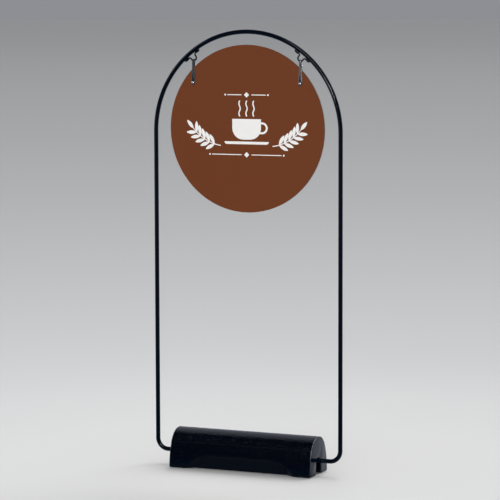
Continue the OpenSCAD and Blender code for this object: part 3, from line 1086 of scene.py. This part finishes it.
def makeDot(place, radius, sides=32):
    deselectAll()
    bpy.ops.mesh.primitive_circle_add(vertices=sides, radius=radius, fill_type="NGON",
                                      location=place, rotation=facingFront)
    applyPlace()
    return bpy.context.object


def makeStroke(place, degrees, width, route):
    # a stroke lies a hair above the filled shapes, and its round ends above the stroke
    lift = Vector((0, -0.01 * mm, 0))
    place, ahead = Vector(place) + lift, flatHeading(degrees)
    across = flatHeading(degrees + 90) * width
    stroke = beginPoint("stroke", place - across / 2)
    extrudeBy(across)
    selectMesh()
    end = followRoute(place, ahead, (0, 1, 0), route)
    mergeMesh(0.01 * mm)
    objectMode()
    return joinPieces([stroke] + [makeDot(tip + lift, width / 2, 20) for tip in (place, end)])


def closeOutline():
    mergeMesh(0.01 * mm)
    bpy.ops.mesh.edge_face_add()
    objectMode()
    return bpy.context.object


def makeCup(form):
    wide, start = 2 * form["half"], Vector((-form["half"], 0, form["top"]))
    beginPoint("cup", start)
    place = followRoute(start, (1, 0, 0), (0, 1, 0), [(wide,)])
    corner = (form["round"], 90, 14)
    followRoute(place, (0, 0, -1), (0, 1, 0), [
        (form["wall"],), corner, (wide - 2 * form["round"],), corner, (form["wall"],)])
    return closeOutline()


def makeSaucer(form):
    wide, start = 2 * form["half"], Vector((-form["half"], 0, form["top"]))
    beginPoint("saucer", start)
    place = followRoute(start, (1, 0, 0), (0, 1, 0), [(wide,)])
    corner = (form["round"], 90, 10)
    followRoute(place, (0, 0, -1), (0, 1, 0), [corner, (wide - 2 * form["round"],), corner])
    return closeOutline()


def makeLeaf(place, degrees, form):
    long, wide = form["leafLength"], form["leafHalfWidth"]
    bend = (long * long / 4 + wide * wide) / (2 * wide)
    half = math.degrees(math.asin(long / 2 / bend))
    place = Vector(place) + flatHeading(degrees) * form["leafGap"]
    beginPoint("leaf", place)
    tip = followRoute(place, flatHeading(degrees + half), (0, 1, 0), [(bend, 2 * half, 12)])
    followRoute(tip, flatHeading(degrees + 180 + half), (0, 1, 0), [(bend, 2 * half, 12)])
    return closeOutline()


def makeSprig(form):
    start = Vector(form["start"])
    parts = [makeStroke(start, form["lean"], form["width"], [(form["round"], -form["sweep"], 24)])]
    centre = start + flatHeading(form["lean"] + 90) * form["round"]
    for sweep in form["leaves"]:
        place = centre - flatHeading(form["lean"] + sweep + 90) * form["round"]
        for side in (-1, 1):
            parts.append(makeLeaf(place, form["lean"] + sweep + side * form["leafTurn"], form))
    tip = centre - flatHeading(form["lean"] + form["sweep"] + 90) * form["round"]
    parts.append(makeLeaf(tip, form["lean"] + form["sweep"], form))
    return joinPieces(parts)


def makeRules(form):
    parts = []
    for level, reach in zip(form["places"], form["to"]):
        parts.append(makeDot((0, 0, level), form["diamond"], 4))
        for side in (-1, 1):
            parts.append(makeStroke((side * form["from"], 0, level), 90 - side * 90, form["width"],
                                    [(reach - form["from"],)]))
            parts.append(makeDot((side * (reach + form["dotGap"]), 0, level), form["dot"]))
    return parts


def makePrint(form):
    handle, steam = form["handle"], form["steam"]
    parts = [makeCup(form["cup"]), makeSaucer(form["saucer"])]
    parts.append(makeStroke(handle["start"], 0, handle["width"], [
        (handle["reach"],), (handle["round"], 180, 26), (handle["tail"],)]))
    for x in steam["places"]:
        parts.append(makeStroke((x, 0, steam["foot"]), 120, steam["width"], [
            (steam["round"], 60, 10), (steam["round"], -60, 10), (steam["round"], 60, 10)]))
    sprig = makeSprig(form["sprig"])
    mirrored = copyTo(sprig, (0, 0, 0))
    mirrored.scale = (-1, 1, 1)
    applyPlace()
    parts = parts + [sprig, mirrored] + makeRules(form["rules"])
    artwork = joinPieces(parts)
    editMode()
    selectMesh()
    extrudeBy((0, -form["thickness"], 0))
    faceOutwards()
    objectMode()
    return artwork


artwork = makePrint(printForm)
for name, turn in (("frontPrint", 0), ("rearPrint", math.pi)):
    side = math.cos(turn)
    piece = copyTo(artwork, (0, 0, 0))
    piece.rotation_euler = (0, 0, turn)
    piece.location = (0, -side * printForm["filmFace"], panelForm["centreZ"])
    applyPlace()
    finishPiece(piece, name, "print_film", "sign", look=inkFinish)
bpy.data.objects.remove(artwork)
print("print made")


# Small parts under the base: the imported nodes' shapes with their rims rounded

smallParts = {
    "base_feet": ("rubberFeet", 0.6 * mm),
    "left_bar_clamp": ("leftClamp", 0.4 * mm),
    "right_bar_clamp": ("rightClamp", 0.4 * mm),
    "left_clamp_washers": ("leftClampWashers", 0.15 * mm),
    "right_clamp_washers": ("rightClampWashers", 0.15 * mm),
    "left_clamp_screws": ("leftClampScrews", 0.15 * mm),
    "right_clamp_screws": ("rightClampScrews", 0.15 * mm),
}


def makeSmallPart(nodeName, pieceName, width):
    piece = copyOfNode(nodeName, pieceName)
    editMode()
    selectMesh()
    bpy.ops.mesh.dissolve_limited(angle_limit=math.radians(1))
    objectMode()
    roundEdges(piece, width, 3, 50)
    smoothByAngle(piece, 40)
    finishPiece(piece, pieceName, slotOfNode[nodeName], "stand", (nodeName,))


for nodeName, (pieceName, width) in smallParts.items():
    makeSmallPart(nodeName, pieceName, width)
print("small parts made")


# Floor, world and lamps

studioLook = {
    # distance from the sign in metres, and the floor's grey as linear light; this grey is a painted
    # pool of light, falling off away from the sign
    "floorPaintedFalloff": ((0.25, 0.675), (0.6, 0.68), (1.1, 0.645), (1.9, 0.575), (3.1, 0.52),
                   (4.9, 0.465), (7.6, 0.412), (14, 0.357), (25, 0.322), (60, 0.272),
                   (98, 0.261), (180, 0.256)),
    "floorCool": (0.025, 0.04),  # how much red the far floor loses, and how much blue it gains
    "glossNearFar": (1.2, 3.0),  # where the floor that gloss sees changes, in metres
    "glossLeft": (1.5, 6.0),
    "glossBehind": (-0.14, 0.05),
    "glossFloorFront": (0.004, 0.045, 0.075, 1),  # what gloss sees of the floor, near and far
    "glossFloorFar": (0.05, 0.055, 0.065, 1),
    "glossFloorLeft": (0.42, 0.43, 0.45, 1),
    "glossFloorBack": (0.40, 0.42, 0.47, 1),
    "glossRoomFront": (0.002, 0.003, 0.007, 1),
    "glossRoomBack": (0.42, 0.445, 0.51, 1),
    "roomTurn": (0.12, 0.24),  # where the room's front turns into its back
    "horizon": (0.266, 0.274, 0.293, 1),
    "ambient": 0.53,
    "backSun": {"azimuth": 178, "elevation": 48, "angle": 40, "strength": 1.99},
    "frontSun": {"azimuth": 8, "elevation": 8, "angle": 40, "strength": 1.70},
    "boxAim": (0, 0, 0.87),  # the screws' height
    # soft boxes that only gloss shows: heading, distance, width and height, brightness
    "boxes": (
        {"azimuth": 12, "elevation": 13, "distance": 3.0, "size": (0.40, 0.40), "brightness": 55},
        {"azimuth": 5, "elevation": 34, "distance": 3.0, "size": (0.30, 1.8), "brightness": 8},
        {"azimuth": -80, "elevation": 27, "distance": 6.0, "size": (2.8, 2.8), "brightness": 4},
    ),
}


def makeFloor(look):
    deselectAll()
    bpy.ops.mesh.primitive_circle_add(vertices=64, radius=look["floorPaintedFalloff"][-1][0],
                                      fill_type="NGON")
    floor = bpy.context.object
    floor.name = "floor"
    finish = Finish(bpy.data.materials.new("paleFloor"))
    spread = finish.add("ShaderNodeVectorMath", {"operation": "LENGTH"}, {0: finish.place()},
                        output=1)
    low, high = math.log10(look["floorPaintedFalloff"][0][0]), math.log10(look["floorPaintedFalloff"][-1][0])
    share = (spread.maths("LOGARITHM", 10.0) - low) * (1 / (high - low))
    # painted light: the floor's colour is brightest near the sign and darker far away, a painted
    # falloff of the light pool
    stops, (lessRed, moreBlue) = [], look["floorCool"]
    for far, grey in look["floorPaintedFalloff"]:
        place = (math.log10(far) - low) / (high - low)
        colour = (grey * (1 - lessRed * place), grey, grey * (1 + moreBlue * place), 1)
        stops.append((place, colour))
    colour = finish.add("ShaderNodeValToRGB", {"stops": stops}, {"Fac": share})
    mirrored = finish.add("ShaderNodeLightPath", output="Is Glossy Ray")
    behind = finish.axis("Y").smooth(*look["glossBehind"])
    toLeft = (finish.axis("X") * -1).smooth(*look["glossLeft"])
    far = finish.mix(toLeft, look["glossFloorFar"], look["glossFloorLeft"])
    mirror = finish.mix(spread.smooth(*look["glossNearFar"]), look["glossFloorFront"], far)
    mirror = finish.mix(behind, mirror, look["glossFloorBack"])
    colour = finish.mix(mirrored, colour, mirror)
    shade = finish.add("ShaderNodeBsdfDiffuse", None, {"Color": colour})
    finish.add("ShaderNodeOutputMaterial", None, {"Surface": shade})
    floor.data.materials.append(finish.material)


def makeWorld(look):
    world = bpy.data.worlds.new("studio")
    bpy.context.scene.world = world
    finish = Finish(world)
    seen = finish.add("ShaderNodeLightPath", output="Is Camera Ray")
    mirrored = finish.add("ShaderNodeLightPath", output="Is Glossy Ray")
    heading = finish.add("ShaderNodeTexCoord", output="Generated")
    depth = finish.add("ShaderNodeSeparateXYZ", None, {0: heading}, output="Y")
    room = finish.mix(depth.smooth(*look["roomTurn"]), look["glossRoomFront"],
                      look["glossRoomBack"])
    ambient = (look["ambient"],) * 3 + (1,)
    colour = finish.mix(seen, finish.mix(mirrored, ambient, room), look["horizon"])
    light = finish.add("ShaderNodeBackground", None, {"Color": colour, "Strength": 1.0})
    finish.add("ShaderNodeOutputWorld", None, {"Surface": light})


def makeSun(name, look):
    deselectAll()
    heading = headingOf(look["azimuth"], look["elevation"])
    bpy.ops.object.light_add(type="SUN", location=heading * 3)  # its distance changes nothing
    sun = bpy.context.object
    sun.name = name
    sun.data.energy = look["strength"]
    sun.data.angle = math.radians(look["angle"])
    sun.visible_glossy = False
    sun.rotation_mode = "QUATERNION"
    sun.rotation_quaternion = heading.to_track_quat("Z", "Y")


def makeBox(name, aim, look):
    deselectAll()
    heading = headingOf(look["azimuth"], look["elevation"])
    bpy.ops.object.light_add(type="AREA", location=Vector(aim) + heading * look["distance"])
    lamp = bpy.context.object
    lamp.name = name
    wide, tall = look["size"]
    lamp.data.shape = "RECTANGLE"
    lamp.data.size, lamp.data.size_y = wide, tall
    lamp.data.energy = look["brightness"] * math.pi * wide * tall
    lamp.visible_camera = False
    lamp.visible_diffuse = False
    lamp.rotation_mode = "QUATERNION"
    lamp.rotation_quaternion = heading.to_track_quat("Z", "Y")


makeFloor(studioLook)
makeWorld(studioLook)
makeSun("backSun", studioLook["backSun"])
makeSun("frontSun", studioLook["frontSun"])
for number, box in enumerate(studioLook["boxes"]):
    makeBox("softBox" + str(number), studioLook["boxAim"], box)
bpy.context.scene.view_settings.view_transform = "Standard"
print("floor and lights placed")
